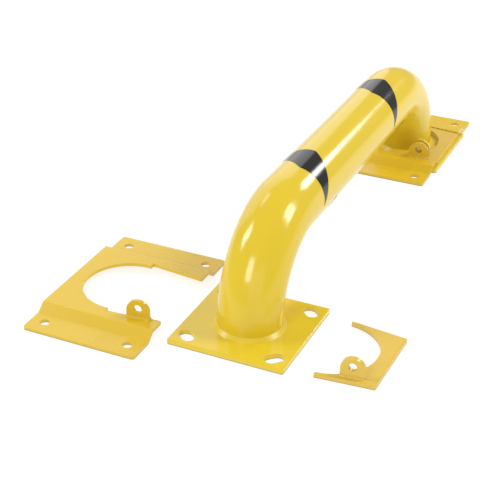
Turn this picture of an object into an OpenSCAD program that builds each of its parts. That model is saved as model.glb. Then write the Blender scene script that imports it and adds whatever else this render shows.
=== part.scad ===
// Low guard hoop for the end of a rack, with two floor brackets that it slides into.
// Millimetres, +Z up. The origin is on the floor under the centre of the near foot plate.
// The hoop runs along +Y to the far foot. The brackets open towards +X.
// The far foot is shown fitted. The bracket and the locking plate of the near foot lie beside it.

/* [Hoop] */
// Outside diameter of the tube
tube_d = 76.1; // [70:0.1:80]
// Wall of the tube
tube_wall = 3.2; // [2:0.1:5]
// Bend radius of the tube, to its centre line
bend_r = 102; // [90:1:150]
// Straight length of each leg between its foot plate and its bend
leg_rise = 5; // [5:1:400]
// Distance between the centre lines of the two legs
leg_span = 554; // [480:1:1500]
// Leg of the fillet weld round each foot
weld_leg = 4.5; // [3:0.1:6]

/* [Foot plates] */
// Length of each side of a foot plate
foot_side = 142; // [136:1:150]
// Thickness of a foot plate
foot_t = 6; // [4:0.5:8]
// Radius of a foot plate's corners
foot_corner_r = 3; // [1:0.5:8]
// Distance from a foot plate's sides to the centre of each slotted hole
foot_slot_inset = 17.5; // [16:0.5:18]
// Width of each slotted hole
foot_slot_w = 16; // [10:0.5:17]
// Overall length of each slotted hole
foot_slot_l = 24; // [18:0.5:25]

/* [Black bands] */
// Thickness of the black tape
band_t = 0.3; // [0.2:0.05:0.6]
// Distance from the end of a bend to the band beside it
band_inset = 22; // [5:1:40]
// Width of a band, measured on the tube's centre line
band_mid_w = 19.4; // [10:0.2:30]
// Tilt of a band's slanted edge
band_tilt = 43; // [20:1:50]
// Turn of the widest place from the top, towards the closed side of the brackets
band_turn = 25; // [0:1:60]

/* [Floor brackets] */
// Length of a bracket along X
bracket_len = 144; // [140:1:160]
// Thickness of the folded sheet
bracket_t = 4; // [3:0.5:5]
// Inside radius of every fold
fold_r = 3; // [2:0.5:4]
// Slope of the step between flange and deck
step_angle = 38; // [35:1:60]
// Overall width of a bracket, over both bolted flanges
bracket_w = 238; // [236:1:280]
// Radius of the flanges' corners
flange_corner_r = 4; // [1:0.5:10]
// Distance from the flange's outer edge to the centre of an anchor hole
anchor_edge = 19; // [14:0.5:21]
// Distance from the bracket's ends to the centre of an anchor hole
anchor_inset = 18; // [12:0.5:24]
// Diameter of an anchor hole
anchor_d = 12; // [8:0.5:14]
// Play of the foot plate between the two steps under the deck
foot_play = 0.5; // [0.5:0.5:4]
// Gap between the weld and the round end of the opening
ring_gap = 11; // [7:0.5:11]
// Width of the shoulder where the round end meets the straight slot
shoulder_w = 6; // [4:0.5:8]
// Distance of the shoulder from the centre of the round end
shoulder_x = 3; // [0:0.5:6]
// Taper of each side of the slot, which narrows towards the open end
slot_taper = 6; // [3:0.5:7]

/* [Locking plates] */
// Thickness of a locking plate
lock_t = 6; // [5:0.5:8]
// Gap between a locking plate and the slot that it drops into
lock_gap = 0.8; // [0.3:0.1:1.5]
// How far the locking plate lies below the top of the deck
lock_drop = 1; // [0:0.1:1.5]
// Extra radius of the locking plate's round cut-out over the bracket's
lock_ring_extra = 2; // [0:0.1:2.5]

/* [Padlock lugs] */
// Width of each lug
lug_w = 28; // [22:1:30]
// Place of the lugs, from the centre of the round end
lug_x = 45; // [40:1:48]
// Diameter of the hole for the padlock's shackle
shackle_hole_d = 10; // [6:0.5:11]
// Height of the shackle hole above the deck
shackle_rise = 12.5; // [12:0.5:16]
// Distance from the shackle hole down to the centre of the lug's round top
lug_round_drop = 3; // [0:0.5:4]
// Gap between the two lugs when they are fitted
lug_gap = 6; // [6:0.5:8]
// Radius of the concave corner at the foot of a folded lug, towards the open end
lug_root_r = 4; // [1:0.5:5]
// Thickness of the lug on a locking plate
lock_lug_t = 6; // [4:0.5:6]
// Fillet at the foot of a locking plate's lug
lock_lug_fillet = 1.5; // [1:0.5:2]

/* [Layout] */
// How far the fitted foot plate stands out of the open end of its bracket
foot_over = 4.5; // [0:0.5:5]
// Gap between the near foot plate and the bracket that lies beside it
lay_gap_bracket = 17; // [5:1:80]
// Gap between the near foot plate and the locking plate that lies beside it
lay_gap_lock = 32; // [5:1:80]
// Offset of the loose bracket along Y
lay_bracket_y = 2.5; // [-40:0.5:40]
// Offset of the loose locking plate along Y
lay_lock_y = -2; // [-40:1:40]
// Turn of the loose locking plate
lay_lock_turn = -0.8; // [-10:0.1:10]

/* [Hidden] */
$fn = 96;
// Overlap of a cutter past the faces that it cuts
over = 1;

tube_r = tube_d / 2;
// Height of the hoop's centre line along its top
hoop_z = foot_t + leg_rise + bend_r;
// Straight length of the hoop's top
top_run = leg_span - 2 * bend_r;

// Widest place of a band, and the place of each band's square edge
band_w = band_mid_w + tube_r * tan(band_tilt);
near_band_y = bend_r + band_inset;
far_band_y = leg_span - bend_r - band_inset - band_w;

// The deck of a bracket stands over the foot plate, with the locking plate let into it
deck_top = foot_t + lock_t + lock_drop;
deck_z = deck_top - bracket_t;
deck_half = (foot_side + foot_play) / 2;
// The slanted sheet between two folds of the same angle
step_flat = (deck_z - (2 * fold_r + bracket_t) * (1 - cos(step_angle))) / sin(step_angle);
step_run = (2 * fold_r + bracket_t) * sin(step_angle) + step_flat * cos(step_angle);
bracket_half = bracket_w / 2;
flange_w = bracket_half - deck_half - step_run;

anchor_x = bracket_len / 2 - anchor_inset;
anchor_y = bracket_half - anchor_edge;
foot_slot_at = foot_side / 2 - foot_slot_inset;

ring_r = tube_r + weld_leg + ring_gap;
lock_ring_r = ring_r + lock_ring_extra;
slot_half = ring_r + shoulder_w;

shackle_z = deck_top + shackle_rise;
lug_round_z = shackle_z - lug_round_drop;
lug_r = lug_w / 2;

far_bracket_x = foot_side / 2 - foot_over - bracket_len / 2;
near_bracket_x = -(foot_side / 2 + lay_gap_bracket + bracket_len / 2);
// The locking plate is drawn in its bracket's place, so its tips are moved to the gap
near_lock_x = foot_side / 2 + lay_gap_lock;
lock_tip_x = shoulder_x + lock_gap;

// Half width of the tapered slot at a distance from the centre of the round end
function slot_half_at(x) = slot_half - (x - shoulder_x) * tan(slot_taper);

// A rectangle about the origin with round corners
module round_rect(l, w, r) {
    square([l - 2 * r, w], center = true);
    square([l, w - 2 * r], center = true);
    for (sx = [-1, 1], sy = [-1, 1])
        translate([sx * (l / 2 - r), sy * (w / 2 - r)]) circle(r);
}

// A slot about the origin, long way along X
module slot_2d(l, w) {
    square([l - w, w], center = true);
    for (s = [-1, 1])
        translate([s * (l - w) / 2, 0]) circle(w / 2);
}

// Section of a fold: a sector of a ring about the origin, from straight up round to the right.
// Its end is cut in the same turned frame as the stretch that follows, so that they always meet.
module fold_2d(angle) {
    reach = 2 * (fold_r + bracket_t);
    difference() {
        circle(fold_r + bracket_t);
        circle(fold_r);
        translate([-reach, -reach]) square([reach, 2 * reach]);
        rotate(-angle) translate([0, -reach]) square([reach, 2 * reach]);
    }
}

// Hoop

// A quarter bend that starts upwards at the origin and ends along +Y
module tube_bend() {
    translate([0, bend_r, 0]) rotate([90, 0, -90])
        rotate_extrude(angle = 90) translate([bend_r, 0]) difference() {
            circle(tube_r);
            circle(tube_r - tube_wall);
        }
}

// A straight tube that starts at the origin and runs along +Z
module tube_run(length) {
    difference() {
        cylinder(h = length, r = tube_r);
        translate([0, 0, -over]) cylinder(h = length + 2 * over, r = tube_r - tube_wall);
    }
}

// Half of the hoop, up to the middle of its top
module half_hoop() {
    translate([0, 0, foot_t]) tube_run(leg_rise);
    translate([0, 0, foot_t + leg_rise]) tube_bend();
    translate([0, bend_r, hoop_z]) rotate([-90, 0, 0]) tube_run(top_run / 2);
}

module hoop_tube() {
    color("gold") {
        half_hoop();
        translate([0, leg_span, 0]) mirror([0, 1, 0]) half_hoop();
    }
}

// A band of tape that covers the top of the tube and tapers to a point on both sides.
// One edge is square to the tube and the other is cut on a slant.
module band(y) {
    cutter = 4 * band_w;
    color("black") translate([0, y, hoop_z]) difference() {
        rotate([-90, 0, 0]) difference() {
            cylinder(h = band_w + over, r = tube_r + band_t);
            translate([0, 0, -over]) cylinder(h = band_w + 3 * over, r = tube_r);
        }
        translate([0, band_mid_w, 0]) rotate([0, -band_turn, 0]) rotate([-band_tilt, 0, 0])
            translate([-cutter / 2, 0, -cutter / 2]) cube(cutter);
    }
}

module near_band() {
    band(near_band_y);
}

module far_band() {
    band(far_band_y);
}

// Feet

// A square plate with a slotted hole across each corner
module foot_plate() {
    color("gold") linear_extrude(foot_t) difference() {
        round_rect(foot_side, foot_side, foot_corner_r);
        for (turn = [0:90:270])
            rotate(turn) translate([foot_slot_at, foot_slot_at]) rotate(-45)
                slot_2d(foot_slot_l, foot_slot_w);
    }
}

// A convex fillet weld between the tube and its foot plate
module weld_bead() {
    color("gold") translate([0, 0, foot_t]) rotate_extrude() translate([tube_r, 0]) intersection() {
        circle(weld_leg);
        square(weld_leg);
    }
}

module near_foot_plate() {
    foot_plate();
}

module far_foot_plate() {
    translate([0, leg_span, 0]) foot_plate();
}

module near_weld_bead() {
    weld_bead();
}

module far_weld_bead() {
    translate([0, leg_span, 0]) weld_bead();
}

// Floor brackets, drawn about the centre of the round end of their opening

// One half of the folded sheet's section, with Y across and Z up.
// Each stretch is drawn from the end of the one before it, so that they always meet.
module bracket_section_half() {
    // Deck
    translate([-over, deck_z]) square([deck_half + over, bracket_t]);
    // Fold down at the edge of the deck
    translate([deck_half, deck_z - fold_r]) {
        fold_2d(step_angle);
        // Slanted step
        rotate(-step_angle) {
            translate([0, fold_r]) square([step_flat, bracket_t]);
            // Fold back out
            translate([step_flat, 2 * fold_r + bracket_t]) {
                mirror([0, 1]) fold_2d(step_angle);
                // Flange, which is cut to its width with the sheet's corners
                rotate(step_angle) translate([0, -fold_r - bracket_t])
                    square([flange_w + over, bracket_t]);
            }
        }
    }
}

// The folded sheet before its opening is cut
module folded_sheet() {
    translate([-bracket_len / 2 - over, 0, 0]) rotate([90, 0, 90]) linear_extrude(bracket_len + 2 * over) {
        bracket_section_half();
        mirror([1, 0]) bracket_section_half();
    }
}

// Outline of the opening: a round end and a slot that narrows towards the open end
module opening_2d() {
    end = bracket_len / 2 + over;
    circle(ring_r);
    polygon([
        [shoulder_x, slot_half_at(shoulder_x)],
        [shoulder_x, -slot_half_at(shoulder_x)],
        [end, -slot_half_at(end)],
        [end, slot_half_at(end)]
    ]);
}

// Puts its children at the lug's place on the front edge of the slot, with +Y into the slot
module at_lug() {
    translate([lug_x, -slot_half_at(lug_x), 0]) rotate(slot_taper) children();
}

// Outline of a lug in its own plane, from a foot at height 0
module lug_2d(foot_z) {
    translate([-lug_r, foot_z]) square([lug_w, lug_round_z - foot_z]);
    translate([0, lug_round_z]) intersection() {
        circle(lug_r);
        translate([-lug_r, 0]) square([lug_w, lug_r]);
    }
}

// Stands an outline up and gives it a thickness towards -Y, with its back face at Y = 0
module stand_up(thickness) {
    rotate([90, 0, 0]) linear_extrude(thickness) children();
}

// The hole for the shackle, through everything that stands at the lug's place
module shackle_hole() {
    reach = 4 * lug_w;
    translate([0, reach / 2, shackle_z]) rotate([90, 0, 0]) cylinder(h = reach, d = shackle_hole_d);
}

// The part of the lug above its fold, with a concave corner that rises from the deck
module lug_blade() {
    stand_up(bracket_t) {
        lug_2d(deck_top + fold_r);
        translate([lug_r, deck_top]) difference() {
            translate([0, -over]) square([lug_root_r, lug_root_r + over]);
            translate([lug_root_r, lug_root_r]) circle(lug_root_r);
        }
    }
}

// The fold that carries the lug
module lug_fold() {
    translate([-lug_r, -bracket_t - fold_r, deck_top + fold_r]) rotate([90, 0, 90])
        linear_extrude(lug_w) mirror([0, 1]) fold_2d(90);
}

module floor_bracket() {
    color("goldenrod") difference() {
        union() {
            difference() {
                intersection() {
                    folded_sheet();
                    translate([0, 0, -over]) linear_extrude(deck_top + 2 * over)
                        round_rect(bracket_len, bracket_w, flange_corner_r);
                }
                translate([0, 0, -over]) linear_extrude(deck_top + 2 * over) opening_2d();
                for (sx = [-1, 1], sy = [-1, 1])
                    translate([sx * anchor_x, sy * anchor_y, -over])
                        cylinder(h = bracket_t + 2 * over, d = anchor_d);
                // The sheet that was folded up into the lug
                at_lug() translate([-lug_r, -bracket_t - fold_r, deck_z - over])
                    cube([lug_w, 2 * bracket_t + fold_r, bracket_t + 2 * over]);
            }
            at_lug() {
                lug_fold();
                lug_blade();
            }
        }
        at_lug() shackle_hole();
    }
}

module near_floor_bracket() {
    translate([near_bracket_x, lay_bracket_y, 0]) floor_bracket();
}

module far_floor_bracket() {
    translate([far_bracket_x, leg_span, 0]) floor_bracket();
}

// Locking plates, drawn in their bracket's place on the foot plate

// Outline of a locking plate: it fills the slot from the shoulders to the open end
module locking_2d() {
    side_gap = lock_gap / cos(slot_taper);
    end = bracket_len / 2;
    difference() {
        polygon([
            [lock_tip_x, slot_half_at(lock_tip_x) - side_gap],
            [lock_tip_x, -slot_half_at(lock_tip_x) + side_gap],
            [end, -slot_half_at(end) + side_gap],
            [end, slot_half_at(end) - side_gap]
        ]);
        circle(lock_ring_r);
    }
}

module locking_plate() {
    color("goldenrod") translate([0, 0, foot_t]) linear_extrude(lock_t) locking_2d();
}

// The fillet welds along both sides of a locking plate's lug, kept on the plate
module lock_lug_welds() {
    foot_z = foot_t + lock_t;
    intersection() {
        at_lug() translate([-lug_r, lug_gap, foot_z]) for (back = [0, 1])
            translate([0, back ? lock_lug_t : 0, 0]) rotate([90, 0, 90]) linear_extrude(lug_w)
                mirror([back ? 0 : 1, 0]) difference() {
                    square(lock_lug_fillet);
                    translate([lock_lug_fillet, lock_lug_fillet]) circle(lock_lug_fillet);
                }
        translate([0, 0, foot_z]) linear_extrude(lock_lug_fillet) locking_2d();
    }
}

// The upright lug of a locking plate, with its welds
module lock_lug() {
    color("goldenrod") {
        at_lug() difference() {
            translate([0, lug_gap + lock_lug_t, 0]) stand_up(lock_lug_t) lug_2d(foot_t + lock_t);
            shackle_hole();
        }
        lock_lug_welds();
    }
}

// Lays a locking plate's pieces on the floor beside the near foot
module lay_lock() {
    translate([near_lock_x, lay_lock_y, -foot_t]) rotate(lay_lock_turn)
        translate([-lock_tip_x, 0, 0]) children();
}

module near_locking_plate() {
    lay_lock() locking_plate();
}

module far_locking_plate() {
    translate([far_bracket_x, leg_span, 0]) locking_plate();
}

module near_lock_lug() {
    lay_lock() lock_lug();
}

module far_lock_lug() {
    translate([far_bracket_x, leg_span, 0]) lock_lug();
}

hoop_tube();
near_foot_plate();
far_foot_plate();
near_weld_bead();
far_weld_bead();
near_band();
far_band();
near_floor_bracket();
far_floor_bracket();
near_locking_plate();
far_locking_plate();
near_lock_lug();
far_lock_lug();
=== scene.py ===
"""Studio picture of a low guard hoop with its floor brackets and locking plates.

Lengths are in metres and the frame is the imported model's own: the origin is on the floor
under the near foot, +Y runs along the hoop and the brackets open towards +X.
"""
import logging
import math
from contextlib import contextmanager
from dataclasses import dataclass, field
from enum import Enum
from typing import Callable, Iterator, Sequence

import bmesh
import bpy
from mathutils import Matrix, Vector


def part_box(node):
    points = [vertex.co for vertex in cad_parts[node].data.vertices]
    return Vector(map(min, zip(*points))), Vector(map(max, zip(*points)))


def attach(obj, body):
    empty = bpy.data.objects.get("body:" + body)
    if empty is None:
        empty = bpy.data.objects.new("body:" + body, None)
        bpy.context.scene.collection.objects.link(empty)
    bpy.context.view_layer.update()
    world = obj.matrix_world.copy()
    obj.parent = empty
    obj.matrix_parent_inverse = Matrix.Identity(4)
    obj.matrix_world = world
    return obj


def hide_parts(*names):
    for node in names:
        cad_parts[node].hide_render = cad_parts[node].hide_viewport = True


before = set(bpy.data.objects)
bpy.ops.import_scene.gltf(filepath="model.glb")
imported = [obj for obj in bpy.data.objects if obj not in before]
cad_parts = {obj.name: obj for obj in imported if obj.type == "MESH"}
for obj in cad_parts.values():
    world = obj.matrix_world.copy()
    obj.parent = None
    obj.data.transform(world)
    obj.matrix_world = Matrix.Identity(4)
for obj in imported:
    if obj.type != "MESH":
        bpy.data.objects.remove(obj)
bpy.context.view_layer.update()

LOG = logging.getLogger("guard_hoop")
BODY = "root"
MM = 0.001
MERGE_GAP = 0.005 * MM  # points nearer than this are one point
NEAR = 0.05 * MM  # how far a picked point or edge may be from the place that is asked for
ALONG = 0.9  # cosine above which a direction counts as along an axis
ACROSS = 0.1  # cosine below which it counts as across it
FLAT_TURN = math.radians(0.5)  # faces that turn by less than this are one flat
SHARP_TURN = math.radians(40)  # an edge that turns by more than this is rounded
THROUGH = 60 * MM  # length of a cutter that passes through everything at its place
HOLE_SIDES = 64
OPENING_SIDES = 160
CORNER_STEPS = 6

Test = Callable[[Vector, Vector], bool]


class Part(Enum):
    """What a selection picks."""

    POINTS = "VERT"
    EDGES = "EDGE"
    FACES = "FACE"


class Slot(Enum):
    """Material slot names."""

    HOOP = "hoop_yellow"
    BRACKET = "bracket_yellow"
    BAND = "band_black"


class Work:
    """A piece on the bench. Each method is one modelling step on it.

    The piece's object stays at the origin, so its points are in the frame's own coordinates.
    """

    def __init__(self, name: str) -> None:
        """Take up the primitive that was just added and bake its place into its mesh.

        Args:
            name: the piece's name.
        """
        self.piece: bpy.types.Object = bpy.context.object
        self.piece.name = name
        self.piece.data.name = name
        bpy.ops.object.transform_apply(location=True, rotation=True, scale=True)

    @classmethod
    def plane(cls, name: str, size: Sequence[float], centre: Sequence[float],
              turn: Sequence[float] = (0, 0, 0)) -> "Work":
        """Start from a flat rectangle.

        Args:
            name: the piece's name.
            size: length along X and along Y before the turn.
            centre: where its middle goes.
            turn: Euler angles about X, Y and Z.

        Returns:
            The piece.
        """
        deselect()
        bpy.ops.mesh.primitive_plane_add(size=1, location=centre, rotation=turn)
        bpy.context.object.scale = (size[0], size[1], 1)
        return cls(name)

    @classmethod
    def block(cls, name: str, size: Sequence[float], centre: Sequence[float],
              turn: Sequence[float] = (0, 0, 0)) -> "Work":
        """Start from a box.

        Args:
            name: the piece's name.
            size: lengths along X, Y and Z before the turn.
            centre: where its middle goes.
            turn: Euler angles about X, Y and Z.

        Returns:
            The piece.
        """
        deselect()
        bpy.ops.mesh.primitive_cube_add(size=1, location=centre, rotation=turn)
        bpy.context.object.scale = size
        return cls(name)

    @classmethod
    def drum(cls, name: str, radius: float, depth: float, centre: Sequence[float],
             turn: Sequence[float] = (0, 0, 0), sides: int = HOLE_SIDES) -> "Work":
        """Start from a cylinder.

        Args:
            name: the piece's name.
            radius: its radius.
            depth: its length along its axis, which is Z before the turn.
            centre: where its middle goes.
            turn: Euler angles about X, Y and Z.
            sides: how many sides it has.

        Returns:
            The piece.
        """
        deselect()
        bpy.ops.mesh.primitive_cylinder_add(
            vertices=sides, radius=radius, depth=depth, end_fill_type="NGON", location=centre, rotation=turn)
        return cls(name)

    @classmethod
    def ring(cls, name: str, radius: float, centre: Sequence[float], sides: int,
             turn: Sequence[float] = (0, 0, 0)) -> "Work":
        """Start from a circle of edges.

        Args:
            name: the piece's name.
            radius: its radius.
            centre: where its middle goes.
            sides: how many edges it has.
            turn: Euler angles about X, Y and Z; it lies level before the turn.

        Returns:
            The piece.
        """
        deselect()
        bpy.ops.mesh.primitive_circle_add(
            vertices=sides, radius=radius, fill_type="NOTHING", location=centre, rotation=turn)
        return cls(name)

    def take(self) -> None:
        """Select this piece alone and make it the active one."""
        deselect()
        bpy.context.view_layer.objects.active = self.piece
        self.piece.select_set(True)

    @contextmanager
    def editing(self) -> Iterator[None]:
        """Edit mode on this piece alone, for as long as the block lasts."""
        self.take()
        bpy.ops.object.mode_set(mode="EDIT")
        try:
            yield
        finally:
            bpy.ops.object.mode_set(mode="OBJECT")

    def pick(self, part: Part, test: Test) -> int:
        """Select in edit mode what passes a test, and nothing else.

        Args:
            part: whether points, edges or faces are tested.
            test: takes a centre and a direction, which is an edge's line or else a normal.

        Returns:
            How many passed.
        """
        bpy.ops.mesh.select_mode(type=part.value)
        bpy.ops.mesh.select_all(action="DESELECT")
        mesh = bmesh.from_edit_mesh(self.piece.data)
        mesh.normal_update()
        if part is Part.POINTS:
            rows = [(p, p.co, p.normal) for p in mesh.verts]
        elif part is Part.EDGES:
            rows = [(e, (e.verts[0].co + e.verts[1].co) / 2, (e.verts[1].co - e.verts[0].co).normalized())
                    for e in mesh.edges]
        else:
            rows = [(f, f.calc_center_median(), f.normal) for f in mesh.faces]
        passed = [element for element, centre, direction in rows if test(centre, direction)]
        for element in passed:
            element.select_set(True)
        mesh.select_flush_mode()
        bmesh.update_edit_mesh(self.piece.data)
        return len(passed)

    def push(self, step: Sequence[float]) -> None:
        """Extrude what is selected by a straight step."""
        bpy.ops.mesh.extrude_region_move(TRANSFORM_OT_translate={"value": tuple(step)})

    def shift(self, test: Test, step: Sequence[float]) -> None:
        """Move the points that pass a test by a straight step."""
        if self.pick(Part.POINTS, test):
            bpy.ops.transform.translate(value=tuple(step))

    def swing(self, angle: float, centre: Sequence[float], axis: Sequence[float], steps: int) -> None:
        """Spin what is selected about an axis by a right-handed angle, leaving a surface behind it."""
        bpy.ops.mesh.spin(steps=steps, angle=-angle, center=tuple(centre), axis=tuple(axis))

    def tidy(self) -> None:
        """Merge doubled points and turn every face outwards."""
        with self.editing():
            bpy.ops.mesh.select_all(action="SELECT")
            bpy.ops.mesh.remove_doubles(threshold=MERGE_GAP)
            bpy.ops.mesh.normals_make_consistent(inside=False)

    def _apply(self, modifier: bpy.types.Modifier) -> None:
        """Apply a modifier to the mesh."""
        self.take()
        bpy.ops.object.modifier_apply(modifier=modifier.name)

    def thicken(self, thickness: float, offset: float) -> None:
        """Give a surface a thickness.

        Args:
            thickness: the sheet's thickness.
            offset: 0 for both ways, or -1 for inwards only.
        """
        modifier = self.piece.modifiers.new("sheet", "SOLIDIFY")
        modifier.thickness = thickness
        modifier.offset = offset
        modifier.use_even_offset = True
        self._apply(modifier)
        self.tidy()

    def _combine(self, other: "Work", operation: str) -> None:
        """Combine this piece's solid with another's and discard the other.

        Args:
            other: the other piece.
            operation: DIFFERENCE or UNION.
        """
        modifier = self.piece.modifiers.new("combine", "BOOLEAN")
        modifier.operation = operation
        modifier.solver = "MANIFOLD"
        modifier.object = other.piece
        self._apply(modifier)
        other.discard()

    def cut(self, cutter: "Work") -> None:
        """Take another piece's solid away from this one."""
        self._combine(cutter, "DIFFERENCE")

    def join(self, other: "Work") -> None:
        """Add another piece's solid to this one."""
        self._combine(other, "UNION")

    def chamfer_top(self, reach: float, drop: float) -> None:
        """Cut the top face's outline back to a slope.

        Args:
            reach: how far the slope goes inwards.
            drop: how far it goes down. The piece grows by this much.
        """
        with self.editing():
            self.pick(Part.FACES, lambda p, n: n.z > ALONG)
            bpy.ops.mesh.inset(thickness=reach, depth=drop, use_even_offset=True)

    def soften(self, width: float, segments: int) -> None:
        """Merge the flat faces that cuts have split, and round every sharp edge, as a coat of powder does.

        Args:
            width: how far the rounding reaches from the edge.
            segments: how many faces it takes.
        """
        with self.editing():
            bpy.ops.mesh.select_all(action="SELECT")
            bpy.ops.mesh.dissolve_limited(angle_limit=FLAT_TURN)
        modifier = self.piece.modifiers.new("edges", "BEVEL")
        modifier.width = width
        modifier.segments = segments
        modifier.limit_method = "ANGLE"
        modifier.angle_limit = SHARP_TURN
        self._apply(modifier)

    def shade(self, angle: float = 30.0) -> None:
        """Shade smoothly, and keep large faces flat.

        Args:
            angle: edges that turn by more degrees than this stay sharp.
        """
        self.take()
        bpy.ops.object.shade_smooth_by_angle(angle=math.radians(angle))
        modifier = self.piece.modifiers.new("flat faces", "WEIGHTED_NORMAL")
        modifier.keep_sharp = True
        self._apply(modifier)

    def copy(self, name: str, place: Matrix) -> "Work":
        """Make a copy with its own mesh.

        Args:
            name: the copy's name.
            place: where it goes from here.

        Returns:
            The copy.
        """
        twin = Work.__new__(Work)
        twin.piece = self.piece.copy()
        twin.piece.data = self.piece.data.copy()
        twin.piece.name = name
        twin.piece.data.name = name
        bpy.context.scene.collection.objects.link(twin.piece)
        twin.piece.data.transform(place)
        return twin

    def discard(self) -> None:
        """Remove the piece."""
        bpy.data.objects.remove(self.piece)

    def dress(self, material: bpy.types.Material, slot: Slot, node: str) -> None:
        """Give the piece its finish and let it stand for a node of the model.

        Args:
            material: its finish.
            slot: not used.
            node: the node that it replaces.
        """
        self.piece.data.materials.clear()
        self.piece.data.materials.append(material)
        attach(self.piece, BODY)
        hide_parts(node)
        report(self.piece, node)


def deselect() -> None:
    """Leave nothing selected, in object mode."""
    if bpy.context.object and bpy.context.object.mode != "OBJECT":
        bpy.ops.object.mode_set(mode="OBJECT")
    bpy.ops.object.select_all(action="DESELECT")


def heading(azimuth: float, elevation: float) -> Vector:
    """A step of length 1 towards an azimuth, from +Y towards +X, and an elevation, both in degrees."""
    turn, rise = math.radians(azimuth), math.radians(elevation)
    return Vector((math.sin(turn) * math.cos(rise), math.cos(turn) * math.cos(rise), math.sin(rise)))


def report(piece: bpy.types.Object, node: str) -> None:
    """Log how many faces a piece has and how far its box is from its node's box.

    Args:
        piece: the piece.
        node: the node that it replaces.
    """
    low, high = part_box(node)
    points = [point.co for point in piece.data.vertices]
    gaps = [abs(min(p[k] for p in points) - low[k]) for k in range(3)]
    gaps += [abs(max(p[k] for p in points) - high[k]) for k in range(3)]
    faces = len(piece.data.polygons)
    LOG.info("%s: %d faces, box within %.2f mm of %s", piece.name, faces, max(gaps) / MM, node)


class Value:
    """A shader socket that adds Math nodes when it is used in an expression."""

    def __init__(self, graph: "Graph", socket: bpy.types.NodeSocket) -> None:
        """Wrap an output socket of a graph."""
        self.graph = graph
        self.socket = socket

    def _math(self, operation: str, first: object, second: object) -> "Value":
        """Add a Math node."""
        return self.graph.node("ShaderNodeMath", {"operation": operation}, {0: first, 1: second})

    def __add__(self, other: object) -> "Value":
        """Sum."""
        return self._math("ADD", self, other)

    __radd__ = __add__

    def __sub__(self, other: object) -> "Value":
        """Difference."""
        return self._math("SUBTRACT", self, other)

    def __rsub__(self, other: object) -> "Value":
        """Difference, the other way round."""
        return self._math("SUBTRACT", other, self)

    def __mul__(self, other: object) -> "Value":
        """Product."""
        return self._math("MULTIPLY", self, other)

    __rmul__ = __mul__


class Graph:
    """The nodes of one material."""

    def __init__(self, name: str) -> None:
        """Start a material with nothing in it.

        Args:
            name: the material's name.
        """
        self.material = bpy.data.materials.new(name)
        self.material.use_nodes = True
        self.tree = self.material.node_tree
        self.tree.nodes.clear()

    def node(self, kind: str, settings: dict[str, object], inputs: dict[object, object],
             output: object = 0) -> Value:
        """Add a node.

        Args:
            kind: the node's type.
            settings: its own settings, which are set first.
            inputs: a value or another node's socket for each input, by name or number.
            output: which of its outputs is wanted.

        Returns:
            The output.
        """
        node = self.tree.nodes.new(kind)
        for name, value in settings.items():
            setattr(node, name, value)
        for name, value in inputs.items():
            if isinstance(value, Value):
                self.tree.links.new(value.socket, node.inputs[name])
            else:
                node.inputs[name].default_value = value
        return Value(self, node.outputs[output])

    def finish(self, shader: Value) -> bpy.types.Material:
        """Send a shader to the output.

        Args:
            shader: the shader's socket.

        Returns:
            The material.
        """
        output = self.tree.nodes.new("ShaderNodeOutputMaterial")
        self.tree.links.new(shader.socket, output.inputs["Surface"])
        return self.material

    def place(self) -> Value:
        """A point's place in the piece's own coordinates."""
        return self.node("ShaderNodeTexCoord", {}, {}, "Object")

    def noise(self, size: float, detail: float) -> Value:
        """Soft noise from 0 to 1, fixed to the piece, with lumps of a size and a number of finer layers."""
        return self.node("ShaderNodeTexNoise", {}, {
            "Vector": self.place(), "Scale": 1 / size, "Detail": detail}, "Fac")

    def blend(self, factor: Value, first: Sequence[float], second: Sequence[float] | Value) -> Value:
        """Mix two colours. The second may come from another node."""
        end = second if isinstance(second, Value) else (*second, 1)
        return self.node("ShaderNodeMix", {"data_type": "RGBA"}, {0: factor, 6: (*first, 1), 7: end}, 2)


@dataclass(frozen=True)
class PowderCoat:
    """Baked powder paint on steel, with the faint orange peel that it dries to and a painted shade along the
    floor.
    """

    name: str
    colour: tuple[float, float, float]
    deep_colour: tuple[float, float, float]
    roughness: float
    ior: float = 1.5
    peel_size: float = 2.4 * MM
    peel_depth: float = 0.006 * MM
    grain_size: float = 0.5 * MM
    grain_share: float = 0.15
    cloud_size: float = 60 * MM
    cloud_dulling: float = 0.04
    # painted shade: the colour and the heights of a brown line at a piece's foot, standing in for the
    # contact shadow on the floor
    floor_shade_colour: tuple[float, float, float] = (0.40, 0.29, 0.12)
    floor_shade_low: float = 0.6 * MM
    floor_shade_high: float = 1.6 * MM

    def material(self) -> bpy.types.Material:
        """Build the material.

        Returns:
            The material.
        """
        graph = Graph(self.name)
        peel = graph.noise(self.peel_size, detail=1)
        grain = graph.noise(self.grain_size, detail=1)
        cloud = graph.noise(self.cloud_size, detail=3)
        height = graph.node("ShaderNodeSeparateXYZ", {}, {0: graph.place()}, 2)
        # painted shade: the paint turns brown in the lowest millimetre or two above the floor
        unshaded = graph.node("ShaderNodeMapRange", {}, {
            "Value": height, "From Min": self.floor_shade_low, "From Max": self.floor_shade_high})
        paint = graph.blend(cloud, self.colour, self.deep_colour)
        normal = graph.node("ShaderNodeBump", {}, {
            "Distance": self.peel_depth, "Height": peel + self.grain_share * grain})
        shader = graph.node("ShaderNodeBsdfPrincipled", {}, {
            "Base Color": graph.blend(unshaded, self.floor_shade_colour, paint),
            "Roughness": self.roughness + self.cloud_dulling * (cloud - 0.5),
            "IOR": self.ior,
            "Normal": normal})
        return graph.finish(shader)


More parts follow.
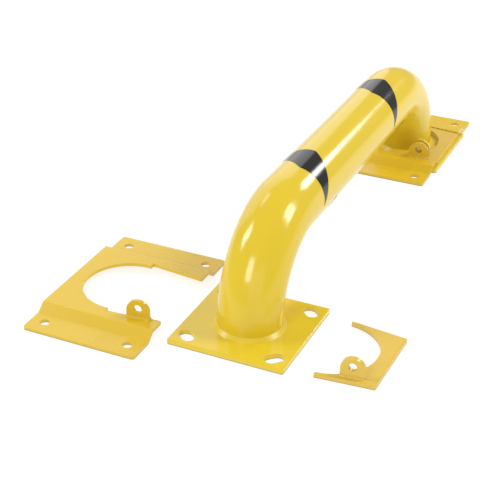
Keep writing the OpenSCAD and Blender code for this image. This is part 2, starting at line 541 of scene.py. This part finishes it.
@dataclass(frozen=True)
class BlackFilm:
    """Glossy black adhesive film with shallow ripples and fine scuffs."""

    name: str
    colour: tuple[float, float, float]
    roughness: float
    ior: float = 1.5
    ripple_size: float = 9 * MM
    ripple_depth: float = 0.02 * MM
    scuff_size: float = 1.5 * MM
    scuff_dulling: float = 0.08

    def material(self) -> bpy.types.Material:
        """Build the material.

        Returns:
            The material.
        """
        graph = Graph(self.name)
        ripple = graph.noise(self.ripple_size, detail=2)
        scuff = graph.noise(self.scuff_size, detail=3)
        normal = graph.node("ShaderNodeBump", {}, {"Distance": self.ripple_depth, "Height": ripple})
        shader = graph.node("ShaderNodeBsdfPrincipled", {}, {
            "Base Color": (*self.colour, 1),
            "Roughness": self.roughness + self.scuff_dulling * (scuff - 0.5),
            "IOR": self.ior,
            "Normal": normal})
        return graph.finish(shader)


@dataclass
class Hoop:
    """The tube hoop with its foot plates, welds and bands.

    The stripes' angles are in degrees, from the top of the tube. The film fills film_share of its
    band's thickness, so that it stays clear of the tube.
    """

    paint: bpy.types.Material
    # the foot plates' paint holds a painted sheen: it is lighter and bluer than the tube's
    sheen_plate_paint: bpy.types.Material
    # the weld's paint is lightened as painted light against the shade in its corner
    lightened_weld_paint: bpy.types.Material
    film: bpy.types.Material
    bend_r: float = 102 * MM
    wall: float = 3.2 * MM
    tube_sides: int = 128
    bend_steps: int = 48
    straight_steps: int = 8
    slot_inset: float = 17.5 * MM
    slot_width: float = 16 * MM
    slot_length: float = 24 * MM
    foot_corner_r: float = 3 * MM
    chamfer_reach: float = 1.6 * MM
    chamfer_drop: float = 0.92 * MM
    edge_round: float = 0.3 * MM
    edge_steps: int = 3
    tape_width: float = 50 * MM
    film_share: float = 0.9
    stripe_start: float = -82.5
    stripe_turn: float = 90.0
    stripe_pitch: float = 195.0
    stripe_sides: int = 240
    weld_rows: int = 8
    weld_sag: float = 0.29
    weld_smooth: float = 60.0
    ripple_count: int = 72
    ripple_steps: tuple[float, ...] = (0.0, 0.05 * MM, 0.09 * MM, 0.11 * MM, 0.09 * MM, 0.04 * MM)
    ripple_margin: float = 0.5 * MM
    tube_r: float = field(init=False)
    span: float = field(init=False)
    top_z: float = field(init=False)
    foot_top: float = field(init=False)
    foot_side: float = field(init=False)
    weld_leg: float = field(init=False)

    def __post_init__(self) -> None:
        """Read from the frame what it says by itself."""
        low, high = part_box("hoop_tube")
        self.tube_r = (high.x - low.x) / 2
        self.span = high.y - low.y - 2 * self.tube_r
        self.top_z = high.z - self.tube_r
        foot_low, foot_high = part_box("near_foot_plate")
        self.foot_top = foot_high.z
        self.foot_side = foot_high.x - foot_low.x
        weld_low, weld_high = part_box("near_weld_bead")
        self.weld_leg = weld_high.z - weld_low.z

    def build(self) -> None:
        """Model every piece of the hoop and dress it."""
        self.tube().dress(self.paint, Slot.HOOP, "hoop_tube")
        across = Matrix.Translation((0, self.span, 0))
        foot = self.foot_plate()
        foot.copy("far_foot", across).dress(self.sheen_plate_paint, Slot.HOOP, "far_foot_plate")
        foot.dress(self.sheen_plate_paint, Slot.HOOP, "near_foot_plate")
        weld = self.weld()
        weld.copy("far_weld", across).dress(self.lightened_weld_paint, Slot.HOOP, "far_weld_bead")
        weld.dress(self.lightened_weld_paint, Slot.HOOP, "near_weld_bead")
        for side in ("near", "far"):
            self.band(side).dress(self.film, Slot.BAND, f"{side}_band")

    def tube(self) -> Work:
        """Bend the tube from its near foot to its far foot.

        Returns:
            The tube.
        """
        bend_z = self.top_z - self.bend_r
        rise = bend_z - self.foot_top
        run = self.span - 2 * self.bend_r
        quarter = math.radians(-90)
        work = Work.ring("tube", self.tube_r, (0, 0, self.foot_top), self.tube_sides)
        with work.editing():
            bpy.ops.mesh.select_all(action="SELECT")
            work.push((0, 0, rise))
            work.swing(quarter, (0, self.bend_r, bend_z), (1, 0, 0), self.bend_steps)
            for _ in range(self.straight_steps):
                work.push((0, run / self.straight_steps, 0))
            work.swing(quarter, (0, self.span - self.bend_r, bend_z), (1, 0, 0), self.bend_steps)
            work.push((0, 0, -rise))
        work.tidy()
        work.thicken(self.wall, -1)
        work.shade()
        return work

    def foot_plate(self) -> Work:
        """Cut the near foot plate with its four slotted holes.

        Returns:
            The plate.
        """
        straight = self.foot_top - self.chamfer_drop
        work = Work.plane("near_foot", (self.foot_side, self.foot_side), (0, 0, straight / 2))
        with work.editing():
            bpy.ops.mesh.select_all(action="SELECT")
            bpy.ops.mesh.bevel(offset=self.foot_corner_r, segments=CORNER_STEPS, affect="VERTICES")
        work.thicken(straight, 0)
        work.chamfer_top(self.chamfer_reach, self.chamfer_drop)
        for quarter in range(4):
            work.cut(self.slot_cutter(math.radians(90 * quarter)))
        work.soften(self.edge_round, self.edge_steps)
        work.shade()
        return work

    def slot_cutter(self, turn: float) -> Work:
        """A cutter for one slotted hole of the near foot plate.

        Args:
            turn: how far round the plate its corner is.

        Returns:
            The cutter.
        """
        reach = (self.slot_length - self.slot_width) / 2
        inset = self.foot_side / 2 - self.slot_inset
        cutter = Work.drum("slot", self.slot_width / 2, 4 * self.foot_top, (0, 0, 0))
        with cutter.editing():
            for side in (1, -1):
                cutter.shift(lambda p, n: p.x * side > NEAR, (side * reach, 0, 0))
        place = Matrix.Rotation(turn, 4, "Z")
        place @= Matrix.Translation((inset, inset, self.foot_top / 2))
        place @= Matrix.Rotation(math.radians(-45), 4, "Z")
        cutter.piece.data.transform(place)
        return cutter

    def weld(self) -> Work:
        """Lay the near foot's weld, ground nearly smooth, with one faint scale for each pulse of the torch.

        Returns:
            The weld.
        """
        leg = self.weld_leg
        radius, height = self.tube_r + leg, 0.0
        sides = self.ripple_count * len(self.ripple_steps)
        work = Work.ring("near_weld", radius, (0, 0, self.foot_top), sides)
        with work.editing():
            bpy.ops.mesh.select_all(action="SELECT")
            for row in range(1, self.weld_rows + 1):
                share = row / self.weld_rows
                sag = self.weld_sag * leg * math.sin(math.pi * share) * math.sqrt(0.5)
                next_radius, next_height = self.tube_r + leg * (1 - share) - sag, leg * share - sag
                work.push((0, 0, next_height - height))
                factor = next_radius / radius
                bpy.ops.transform.resize(value=(factor, factor, 1), center_override=(0, 0, 0))
                radius, height = next_radius, next_height
            for step, lift in enumerate(self.ripple_steps):
                if lift and work.pick(Part.POINTS, lambda p, n: self.ripple_step(p) == step):
                    bpy.ops.transform.shrink_fatten(value=lift)
            bpy.ops.mesh.select_all(action="DESELECT")
            bpy.ops.mesh.select_non_manifold()
            bpy.ops.mesh.bridge_edge_loops()
        work.tidy()
        work.shade(self.weld_smooth)
        return work

    def ripple_step(self, p: Vector) -> int | None:
        """Which step of its scale a point of the weld is on.

        Args:
            p: the point.

        Returns:
            The step's number, or None beside the tube or the plate, where the weld has no scales.
        """
        if not self.ripple_margin < p.z - self.foot_top < self.weld_leg - self.ripple_margin:
            return None
        steps = len(self.ripple_steps)
        pitch = 2 * math.pi / (self.ripple_count * steps)
        return round(math.atan2(p.y, p.x) / pitch) % steps

    def band(self, side: str) -> Work:
        """Wrap one length of tape round the tube and keep its two slanted black stripes.

        Args:
            side: near or far.

        Returns:
            Both stripes.
        """
        low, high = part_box(f"{side}_band")
        thickness = high.x - self.tube_r
        pitch = 360 / self.stripe_sides
        starts = (self.stripe_start, self.stripe_start + self.stripe_pitch)
        steps = round(self.stripe_turn / pitch)
        work = Work.ring(f"{side}_stripe", self.tube_r + thickness, (0, low.y, self.top_z),
                         self.stripe_sides, (math.radians(90), 0, 0))

        def place(p: Vector) -> int:
            """How many steps a point is from the start of its stripe's slanted edge."""
            angle = math.degrees(math.atan2(p.x, p.z - self.top_z))
            return min(round((angle - start) / pitch) % self.stripe_sides for start in starts)

        with work.editing():
            work.pick(Part.POINTS, lambda p, n: place(p) > steps)
            bpy.ops.mesh.delete(type="VERT")
            for step in range(steps):
                work.shift(lambda p, n: place(p) == step, (0, self.tape_width * (1 - step / steps), 0))
            bpy.ops.mesh.select_mode(type="EDGE")
            bpy.ops.mesh.select_all(action="SELECT")
            work.swing(math.radians(self.stripe_turn), (0, low.y, self.top_z), (0, 1, 0), steps)
        work.tidy()
        work.thicken(thickness * self.film_share, -1)
        work.shade()
        return work


@dataclass
class BracketShape:
    """Sizes that a floor bracket and its locking plate share, in the bracket's own frame.

    The frame's origin is on the floor under the centre of the opening's round end.
    """

    ring_r: float = 53.55 * MM
    shoulder_w: float = 6 * MM
    shoulder_x: float = 3 * MM
    taper: float = math.radians(6)
    lug_x: float = 45 * MM
    lug_w: float = 28 * MM
    lug_top_z: float = 36.5 * MM
    lug_steps: int = 28
    crest: float = 0.005 * MM
    shackle_r: float = 5 * MM
    shackle_z: float = 25.5 * MM
    shackle_y: float = 5 * MM
    length: float = field(init=False)

    def __post_init__(self) -> None:
        """Read the bracket's length from the frame."""
        low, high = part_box("near_floor_bracket")
        self.length = high.x - low.x

    def place(self, side: str) -> Matrix:
        """Place of the near or the far foot's bracket."""
        low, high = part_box(f"{side}_floor_bracket")
        return Matrix.Translation(((low.x + high.x) / 2, (low.y + high.y) / 2, 0))

    def slot_half(self, x: float) -> float:
        """Half the slot's width at a distance from the centre of the round end."""
        return self.ring_r + self.shoulder_w - (x - self.shoulder_x) * math.tan(self.taper)

    def lug_frame(self) -> Matrix:
        """Place of the lug on the slot's front edge, with +X along the edge and +Y into the slot."""
        place = Matrix.Translation((self.lug_x, -self.slot_half(self.lug_x), 0))
        return place @ Matrix.Rotation(self.taper, 4, "Z")

    def lug_round(self) -> float:
        """How far a lug's top corners are rounded, which leaves the narrowest flat at its crest."""
        return self.lug_w / 2 - self.crest

    def shackle_cutter(self) -> Work:
        """A drill through everything that stands at the lug's place."""
        centre = self.lug_frame() @ Vector((0, self.shackle_y, self.shackle_z))
        return Work.drum("drill", self.shackle_r, THROUGH, centre, (math.radians(90), 0, self.taper))


@dataclass
class FloorBracket:
    """A bracket folded from one sheet, with a keyhole opening and an upright lug."""

    shape: BracketShape
    paint: bpy.types.Material
    sheet: float = 4 * MM
    fold_r: float = 3 * MM
    fold_steps: int = 8
    step_angle: float = math.radians(38)
    deck_top: float = 13 * MM
    deck_half: float = 71.25 * MM
    corner_r: float = 4 * MM
    tip_r: float = 1.5 * MM
    tip_steps: int = 4
    anchor_r: float = 6 * MM
    anchor_x: float = 54 * MM
    anchor_y: float = 100 * MM
    anchor_depth: float = 20 * MM
    overshoot: float = 5 * MM
    lug_fold_steps: int = 10
    root_r: float = 4 * MM
    root_sink: float = 0.4 * MM
    edge_round: float = 0.45 * MM
    edge_steps: int = 2

    def build(self) -> None:
        """Model the bracket once and put a copy at each foot."""
        work = self.folded_sheet()
        self.cut_opening(work)
        self.raise_lug(work)
        work.soften(self.edge_round, self.edge_steps)
        work.shade()
        for side in ("near", "far"):
            bracket = work.copy(f"{side}_bracket", self.shape.place(side))
            bracket.dress(self.paint, Slot.BRACKET, f"{side}_floor_bracket")
        work.discard()

    def folded_sheet(self) -> Work:
        """Fold the sheet's two steps and flanges down from its deck.

        Returns:
            The folded sheet, with nothing cut in it.
        """
        low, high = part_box("near_floor_bracket")
        half_width = (high.y - low.y) / 2
        mid = self.fold_r + self.sheet / 2
        turn_in = 2 * self.fold_r + self.sheet
        drop = self.deck_top - self.sheet
        flat = (drop - turn_in * (1 - math.cos(self.step_angle))) / math.sin(self.step_angle)
        run = turn_in * math.sin(self.step_angle) + flat * math.cos(self.step_angle)
        deck_mid = self.deck_top - self.sheet / 2
        work = Work.plane("bracket", (self.shape.length, 2 * self.deck_half), (0, 0, deck_mid))
        with work.editing():
            for side in (1, -1):
                edge_y = side * self.deck_half
                turn = side * self.step_angle
                work.pick(Part.EDGES, lambda p, d: abs(p.y - edge_y) < NEAR)
                work.swing(-turn, (0, edge_y, deck_mid - mid), (1, 0, 0), self.fold_steps)
                work.push((0, side * flat * math.cos(self.step_angle), -flat * math.sin(self.step_angle)))
                low_y = edge_y + side * run
                work.swing(turn, (0, low_y, self.sheet / 2 + mid), (1, 0, 0), self.fold_steps)
                work.push((0, side * (half_width - self.deck_half - run), 0))
            work.pick(Part.POINTS, lambda p, n: abs(abs(p.y) - half_width) < NEAR)
            bpy.ops.mesh.bevel(offset=self.corner_r, segments=CORNER_STEPS, affect="VERTICES")
        work.tidy()
        work.thicken(self.sheet, 0)
        return work

    def cut_opening(self, work: Work) -> None:
        """Cut the keyhole, the anchor holes and the window that the lug is folded from.

        Args:
            work: the folded sheet.
        """
        shape = self.shape
        work.cut(Work.drum("round_end", shape.ring_r, THROUGH, (0, 0, self.deck_top), sides=OPENING_SIDES))
        end = shape.length / 2 + self.overshoot
        start_half, end_half = shape.slot_half(shape.shoulder_x), shape.slot_half(end)
        slot = Work.block("slot", (end - shape.shoulder_x, 2 * start_half, THROUGH),
                          ((end + shape.shoulder_x) / 2, 0, self.deck_top))
        with slot.editing():
            for side in (1, -1):
                slot.shift(lambda p, n: p.x > end - NEAR and p.y * side > 0,
                           (0, side * (end_half - start_half), 0))
        work.cut(slot)
        for x in (-self.anchor_x, self.anchor_x):
            for y in (-self.anchor_y, self.anchor_y):
                work.cut(Work.drum("anchor_hole", self.anchor_r, self.anchor_depth, (x, y, self.sheet / 2)))
        fold = self.sheet + self.fold_r
        depth = fold + self.sheet
        centre = shape.lug_frame() @ Vector((0, depth / 2 - fold, self.deck_top - self.sheet / 2))
        work.cut(Work.block("window", (shape.lug_w, depth, 3 * self.sheet), centre, (0, 0, shape.taper)))
        with work.editing():
            tip_x = shape.length / 2
            tip_y = shape.slot_half(tip_x)
            work.pick(Part.EDGES, lambda p, d: abs(p.x - tip_x) < NEAR and abs(abs(p.y) - tip_y) < NEAR
                      and abs(d.z) > ALONG)
            bpy.ops.mesh.bevel(offset=self.tip_r, segments=self.tip_steps, affect="EDGES")

    def raise_lug(self, work: Work) -> None:
        """Fold the lug up from the back of its window, round its top, drill it and flare its foot.

        Args:
            work: the bracket.
        """
        shape = self.shape
        place = shape.lug_frame()
        back = place.inverted()
        along = (place.to_3x3() @ Vector((1, 0, 0))).normalized()
        fold = self.sheet + self.fold_r
        half = shape.lug_w / 2
        with work.editing():
            work.pick(Part.FACES, lambda p, n: abs((back @ p).y + fold) < NEAR and abs((back @ p).x) < half
                      and abs(n.z) < ACROSS)
            bpy.ops.mesh.delete(type="ONLY_FACE")
            work.pick(Part.EDGES, lambda p, d: self.on_rim(back @ p, fold, half))
            hinge = place @ Vector((0, -fold, self.deck_top + self.fold_r))
            work.swing(math.radians(90), hinge, along, self.lug_fold_steps)
            work.push((0, 0, shape.lug_top_z - self.deck_top - self.fold_r))
            bpy.ops.mesh.edge_face_add()
            work.pick(Part.EDGES, lambda p, d: abs(p.z - shape.lug_top_z) < NEAR
                      and abs(d.dot(along)) < ACROSS)
            bpy.ops.mesh.bevel(offset=shape.lug_round(), segments=shape.lug_steps, affect="EDGES")
        work.tidy()
        work.cut(shape.shackle_cutter())
        work.join(self.flare(place))

    def on_rim(self, q: Vector, fold: float, half: float) -> bool:
        """Whether an edge, by its middle in the lug's frame, is on the rim where the lug starts."""
        level = self.deck_top - self.sheet - NEAR < q.z < self.deck_top + NEAR
        return level and abs(q.y + fold) < NEAR and (abs(q.x) < NEAR or abs(abs(q.x) - half) < NEAR)

    def flare(self, place: Matrix) -> Work:
        """The concave corner at the lug's foot, on the side of the bracket's open end.

        Args:
            place: the lug's frame.

        Returns:
            The corner as a piece of its own, sunk a little into the sheet.
        """
        side = self.root_r + self.root_sink
        middle = side / 2 - self.root_sink
        half = self.shape.lug_w / 2
        work = Work.block("flare", (side, self.sheet, side), (
            half + middle, -self.sheet / 2, self.deck_top + middle))
        work.cut(Work.drum("hollow", self.root_r, 4 * self.sheet, (
            half + self.root_r, -self.sheet / 2, self.deck_top + self.root_r), (math.radians(90), 0, 0)))
        work.piece.data.transform(place)
        return work


@dataclass
class LockingPlate:
    """A C-shaped plate that fills the bracket's slot, with a lug welded on."""

    shape: BracketShape
    paint: bpy.types.Material
    gap: float = 0.8 * MM
    cutout_r: float = 55.55 * MM
    floor_z: float = 6 * MM
    thickness: float = 6 * MM
    lug_gap: float = 6 * MM
    lug_thickness: float = 6 * MM
    lug_edge_round: float = 0.6 * MM
    lug_weld_r: float = 1.5 * MM
    lug_weld_reach: float = 1.35 * MM
    lug_weld_sink: float = 0.3 * MM
    chamfer_reach: float = 1.6 * MM
    chamfer_drop: float = 0.75 * MM
    edge_round: float = 0.3 * MM
    edge_steps: int = 3
    near_turn: float = math.radians(-0.8)
    near_y: float = -2 * MM

    def build(self) -> None:
        """Model the plate and its lug once and put a copy at each foot."""
        plate, lug = self.plate(), self.lug()
        for side, place in (("near", self.near_place()), ("far", self.shape.place("far"))):
            plate.copy(f"{side}_lock", place).dress(self.paint, Slot.BRACKET, f"{side}_locking_plate")
            lug.copy(f"{side}_lock_tab", place).dress(self.paint, Slot.BRACKET, f"{side}_lock_lug")
        plate.discard()
        lug.discard()

    def start_x(self) -> float:
        """Where the plate starts along the slot."""
        return self.shape.shoulder_x + self.gap

    def half(self, x: float) -> float:
        """Half the plate's width at a place along the slot."""
        return self.shape.slot_half(x) - self.gap / math.cos(self.shape.taper)

    def near_place(self) -> Matrix:
        """Find where the loose plate lies on the floor.

        Returns:
            The way there from its place in the bracket.
        """
        low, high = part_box("near_locking_plate")
        turn = Matrix.Rotation(self.near_turn, 4, "Z")
        end = self.shape.length / 2
        reach = max((turn @ Vector((end - self.start_x(), side * self.half(end), 0))).x for side in (1, -1))
        place = Matrix.Translation((high.x - reach, self.near_y, -self.floor_z))
        return place @ turn @ Matrix.Translation((-self.start_x(), 0, 0))

    def plate(self) -> Work:
        """Cut the plate to the slot's outline less its gap, and round out its middle.

        Returns:
            The plate, in its place in the bracket.
        """
        start, end = self.start_x(), self.shape.length / 2
        mid_z = self.floor_z + self.thickness / 2
        straight = self.thickness - self.chamfer_drop
        work = Work.plane("lock", (end - start, 2 * self.half(start)),
                          ((start + end) / 2, 0, self.floor_z + straight / 2))
        with work.editing():
            for side in (1, -1):
                work.shift(lambda p, n: p.x > end - NEAR and p.y * side > 0,
                           (0, side * (self.half(end) - self.half(start)), 0))
        work.thicken(straight, 0)
        work.chamfer_top(self.chamfer_reach, self.chamfer_drop)
        work.cut(self.middle_cutter(mid_z))
        work.soften(self.edge_round, self.edge_steps)
        work.shade()
        return work

    def middle_cutter(self, z: float) -> Work:
        """A cutter for the round middle of the plate, at a height."""
        return Work.drum("cutout", self.cutout_r, 4 * self.thickness, (0, 0, z), sides=OPENING_SIDES)

    def lug(self) -> Work:
        """Cut the lug, drill it, round its edges and weld it to the plate.

        Returns:
            The lug with its welds, in its place in the bracket.
        """
        shape = self.shape
        foot_z = self.floor_z + self.thickness
        centre = shape.lug_frame() @ Vector((
            0, self.lug_gap + self.lug_thickness / 2, (foot_z + shape.lug_top_z) / 2))
        work = Work.plane("lock_tab", (shape.lug_w, shape.lug_top_z - foot_z), centre,
                          (math.radians(90), 0, shape.taper))
        with work.editing():
            work.pick(Part.POINTS, lambda p, n: p.z > shape.lug_top_z - NEAR)
            bpy.ops.mesh.bevel(offset=shape.lug_round(), segments=shape.lug_steps, affect="VERTICES")
        work.thicken(self.lug_thickness, 0)
        work.cut(shape.shackle_cutter())
        work.soften(self.lug_edge_round, self.edge_steps)
        for side in (1, -1):
            work.join(self.lug_weld(side))
        work.shade()
        return work

    def lug_weld(self, side: int) -> Work:
        """Lay the concave weld along one face of the lug, as far as the plate reaches under it.

        Args:
            side: 1 for the face towards the tube, or -1 for the other.

        Returns:
            The weld, sunk a little into the lug.
        """
        reach, sink = self.lug_weld_reach, self.lug_weld_sink
        foot_z = self.floor_z + self.thickness
        face_y = self.lug_gap + (1 + side) / 2 * self.lug_thickness
        work = Work.block("bead", (self.shape.lug_w, reach + sink, self.lug_weld_r), (
            0, face_y + side * (reach - sink) / 2, foot_z + self.lug_weld_r / 2))
        work.cut(Work.drum("hollow", self.lug_weld_r, 2 * self.shape.lug_w, (
            0, face_y + side * self.lug_weld_r, foot_z + self.lug_weld_r), (0, math.radians(90), 0)))
        work.piece.data.transform(self.shape.lug_frame())
        work.cut(self.middle_cutter(foot_z))
        return work


@dataclass(frozen=True)
class Softbox:
    """A flat soft light that hangs near the hoop. Its place is given as a heading from the hoop."""

    name: str
    azimuth: float
    elevation: float
    width: float
    height: float
    glow: float
    distance: float = 2.0

    def hang(self, aim: Vector) -> None:
        """Hang the light so that it faces a point.

        Args:
            aim: the point.
        """
        towards = heading(self.azimuth, self.elevation)
        deselect()
        bpy.ops.object.light_add(type="AREA", location=aim + towards * self.distance)
        light = bpy.context.object
        light.name = self.name
        light.data.shape = "RECTANGLE"
        light.data.size = self.width
        light.data.size_y = self.height
        light.data.energy = self.glow * math.pi * self.width * self.height
        light.rotation_euler = (-towards).to_track_quat("-Z", "Y").to_euler()


@dataclass
class Studio:
    """The floor, the lights and the camera, which stands at a heading from its target."""

    azimuth: float = 154.099
    elevation: float = 29.261
    target: tuple[float, float, float] = (-0.12395, 0.14225, 0.0)
    distance: float = 1.6419
    focal_pixels: float = 1295.66
    centre_pixel: float = 206.66
    image_pixels: int = 500
    sensor: float = 36.0
    floor_side: float = 30.0
    paper: tuple[float, float, float] = (0.3, 0.3, 0.3)
    paper_roughness: float = 0.9
    paper_glow: float = 0.76
    white: tuple[float, float, float, float] = (1, 1, 1, 1)
    room_glow: float = 0.40
    light_aim: tuple[float, float, float] = (0, 0.2, 0.1)
    softboxes: tuple[Softbox, ...] = (
        Softbox("right_softbox", azimuth=69, elevation=42, width=0.57, height=0.85, glow=12.0),
        Softbox("back_softbox", azimuth=24, elevation=30, width=0.46, height=0.42, glow=14.5),
        Softbox("left_softbox", azimuth=-110, elevation=39, width=0.72, height=1.08, glow=11.5,
                distance=3.0),
        Softbox("front_softbox", azimuth=-176, elevation=29, width=0.62, height=0.74, glow=7.5),
        Softbox("high_strip", azimuth=-64, elevation=51, width=0.5, height=0.35, glow=3.5, distance=2.14),
        Softbox("front_fill", azimuth=150, elevation=15, width=2.4, height=1.6, glow=0.8, distance=3.0),
        Softbox("white_wall", azimuth=-46, elevation=23, width=3.3, height=2.2, glow=1.0, distance=3.0),
    )

    def build(self) -> None:
        """Set up everything round the object."""
        self.floor()
        self.lights()
        self.camera()

    def floor(self) -> None:
        """Lay a plain pale floor."""
        work = Work.plane("studio_floor", (self.floor_side, self.floor_side), (0, 0, 0))
        graph = Graph("studio_floor_paper")
        shader = graph.node("ShaderNodeBsdfPrincipled", {}, {
            "Base Color": (*self.paper, 1), "Roughness": self.paper_roughness, "Specular IOR Level": 0.0,
            "Emission Color": self.white, "Emission Strength": self.paper_glow})
        work.piece.data.materials.append(graph.finish(shader))

    def lights(self) -> None:
        """Light the object with lamps, a fill and a white wall in a dim room."""
        world = bpy.data.worlds.new("studio_world")
        world.use_nodes = True
        background = world.node_tree.nodes["Background"]
        background.inputs["Color"].default_value = self.white
        background.inputs["Strength"].default_value = self.room_glow
        bpy.context.scene.world = world
        for softbox in self.softboxes:
            softbox.hang(Vector(self.light_aim))

    def camera(self) -> None:
        """Stand the camera where the photograph was taken from."""
        direction = heading(self.azimuth, self.elevation)
        deselect()
        bpy.ops.object.camera_add(location=Vector(self.target) + direction * self.distance)
        camera = bpy.context.object
        camera.name = "camera"
        camera.rotation_euler = (-direction).to_track_quat("-Z", "Y").to_euler()
        camera.data.sensor_width = self.sensor
        camera.data.lens = self.sensor * self.focal_pixels / self.image_pixels
        camera.data.shift_x = 0.5 - self.centre_pixel / self.image_pixels
        bpy.context.scene.camera = camera
        bpy.context.scene.view_settings.view_transform = "Standard"


def main() -> None:
    """Mix the finishes, build every piece and set up the studio."""
    logging.basicConfig(level=logging.INFO, format="%(message)s")
    hoop_paint = PowderCoat("hoop_powder_coat", colour=(0.71, 0.515, 0.026),
                            deep_colour=(0.69, 0.495, 0.021), roughness=0.165).material()
    # painted sheen: the foot plates' paint is a lighter, bluer copy of the hoop's paint, standing in for the
    # brighter reflection on the plates
    sheen_plate_paint = PowderCoat("plate_powder_coat_painted_sheen", colour=(0.72, 0.53, 0.030),
                             deep_colour=(0.70, 0.51, 0.025), roughness=0.20).material()
    # painted light: the weld's paint is a little lighter than the plate's, to offset the shade in the corner
    # between tube and plate
    lightened_weld_paint = PowderCoat("weld_powder_coat_lightened", colour=(0.73, 0.54, 0.027),
                            deep_colour=(0.71, 0.52, 0.022), roughness=0.30).material()
    bracket_paint = PowderCoat("bracket_powder_coat", colour=(0.69, 0.465, 0.024),
                               deep_colour=(0.66, 0.44, 0.019), roughness=0.27).material()
    # painted sheen: the locking plates' paint is a bluer copy of the bracket's paint, standing in for the
    # paler reflection the plates show
    sheen_lock_paint = PowderCoat("lock_powder_coat_painted_sheen", colour=(0.70, 0.48, 0.068),
                            deep_colour=(0.67, 0.455, 0.056), roughness=0.27).material()
    film = BlackFilm("black_film", colour=(0.005, 0.005, 0.006), roughness=0.14).material()
    Hoop(hoop_paint, sheen_plate_paint, lightened_weld_paint, film).build()
    shape = BracketShape()
    FloorBracket(shape, bracket_paint).build()
    LockingPlate(shape, sheen_lock_paint).build()
    Studio().build()


if __name__ == "__main__":
    main()
